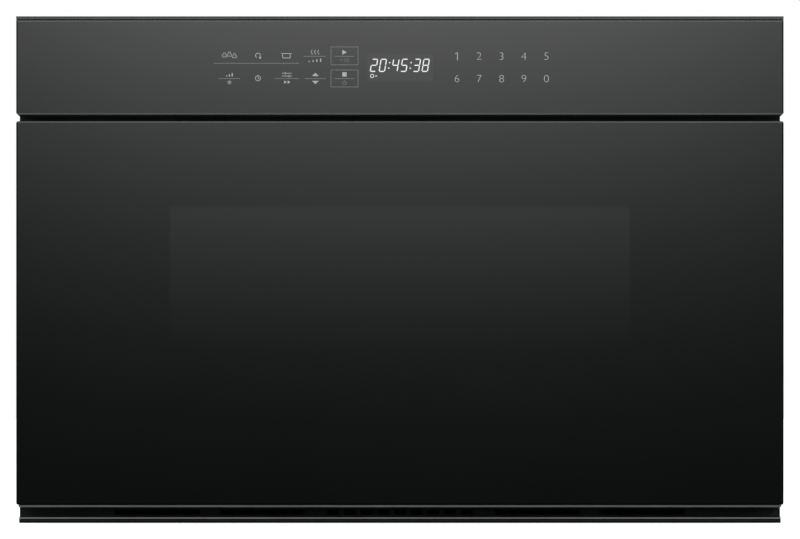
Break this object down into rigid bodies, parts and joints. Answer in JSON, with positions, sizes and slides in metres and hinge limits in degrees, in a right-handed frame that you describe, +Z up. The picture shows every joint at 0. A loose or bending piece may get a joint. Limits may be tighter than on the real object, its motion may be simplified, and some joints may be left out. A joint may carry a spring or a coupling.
{
  "type": "microwave drawer",
  "caption": "Built-in drawer microwave oven: dark glass front with a touch control panel over a powered drawer that carries the door and an open-topped tub.",
  "frame": {"origin": "middle of the footprint on the plane that the chassis stands on: half way from side to side of the front glass, and half way from the front glass to the tip of the cord gland", "axes": "+Z up, +X to the right as seen from the front, +Y to the rear: the glass front faces -Y"},
  "size_m": [0.606, 0.59, 0.4],
  "materials": {
    "black_glass": "polished",
    "clear_glass": "polished",
    "ceramic": "satin",
    "black_paint": "satin",
    "cavity_paint": "satin",
    "dark_trim": "satin",
    "zinc_sheet": "spangled zinc",
    "steel": "bright",
    "core_steel": "varnished laminations",
    "copper": "enamelled wire under tape",
    "black_plastic": "fine texture",
    "white_plastic": "natural nylon",
    "circuit_board": "solder resist"
  },
  "bodies": {
    "chassis": {"face_frame": "black_paint", "base_pan": "zinc_sheet", "side_panel_left": "zinc_sheet", "side_panel_right": "zinc_sheet", "rear_panel": "zinc_sheet", "top_cover": "zinc_sheet", "sill_trim": "dark_trim", "vent_grille": "black_plastic", "cord_gland": "black_plastic", "control_glass": "black_glass", "top_trim": "dark_trim", "control_housing": "black_plastic", "display_module": "black_plastic", "control_board": "circuit_board", "cavity_wrapper": "cavity_paint", "cavity_floor": "cavity_paint", "cavity_back": "cavity_paint", "cavity_lamp": "white_plastic", "stirrer_box": "zinc_sheet", "stirrer_cover": "white_plastic", "waveguide": "zinc_sheet", "stirrer_motor": "steel", "magnetron": "steel", "transformer_core": "core_steel", "transformer_coils": "copper", "capacitor": "steel", "fan_shroud": "black_plastic", "fan_motor": "steel", "filter_board": "circuit_board", "interlock_switch_left": "black_plastic", "interlock_switch_right": "black_plastic", "shaft_bearing_left": "black_plastic", "shaft_bearing_right": "black_plastic", "gearbox": "white_plastic", "drive_motor": "steel", "slide_outer_left": "steel", "slide_outer_right": "steel"},
    "drawer": {"door_glass": "black_glass", "door_bottom_trim": "dark_trim", "door_frame": "black_paint", "door_back_panel": "cavity_paint", "window_screen": "black_paint", "inner_window": "clear_glass", "latch_hook_left": "white_plastic", "latch_hook_right": "white_plastic", "tub": "cavity_paint", "ceramic_tray": "ceramic", "carrier_beam_left": "black_paint", "carrier_beam_right": "black_paint", "rack_left": "white_plastic", "rack_right": "white_plastic", "slide_inner_left": "steel", "slide_inner_right": "steel"},
    "middle_slide_left": {"slide_middle_left": "steel"},
    "middle_slide_right": {"slide_middle_right": "steel"},
    "cross_shaft": {"drive_shaft": "steel", "pinion_left": "white_plastic", "pinion_right": "white_plastic"},
    "stirrer": {"stirrer": "steel"},
    "fan_wheel": {"fan_wheel": "black_plastic"}
  },
  "joints": [
    {"name": "drawer_slide", "type": "slide", "parent": "chassis", "child": "drawer", "axis": [0, -1, 0], "range_m": [0, 0.38]},
    {"name": "middle_slide_left_travel", "type": "slide", "parent": "chassis", "child": "middle_slide_left", "axis": [0, -1, 0], "range_m": [0, 0.19]},
    {"name": "middle_slide_right_travel", "type": "slide", "parent": "chassis", "child": "middle_slide_right", "axis": [0, -1, 0], "range_m": [0, 0.19]},
    {"name": "drive_shaft_spin", "type": "hinge", "parent": "chassis", "child": "cross_shaft", "pos_m": [0, -0.2335, 0.03528], "axis": [1, 0, 0], "range_deg": [0, 1452]},
    {"name": "stirrer_spin", "type": "hinge", "parent": "chassis", "child": "stirrer", "pos_m": [0, -0.0467, 0.2758], "axis": [0, 0, 1], "continuous": true},
    {"name": "fan_spin", "type": "hinge", "parent": "chassis", "child": "fan_wheel", "pos_m": [0.165, 0.2747, 0.307], "axis": [0, 1, 0], "continuous": true}
  ],
  "couplings": [
    {"joint": "middle_slide_left_travel", "follows": "drawer_slide", "ratio": 0.5},
    {"joint": "middle_slide_right_travel", "follows": "drawer_slide", "ratio": 0.5},
    {"joint": "drive_shaft_spin", "follows": "drawer_slide", "rad_per_m": 66.667}
  ]
}
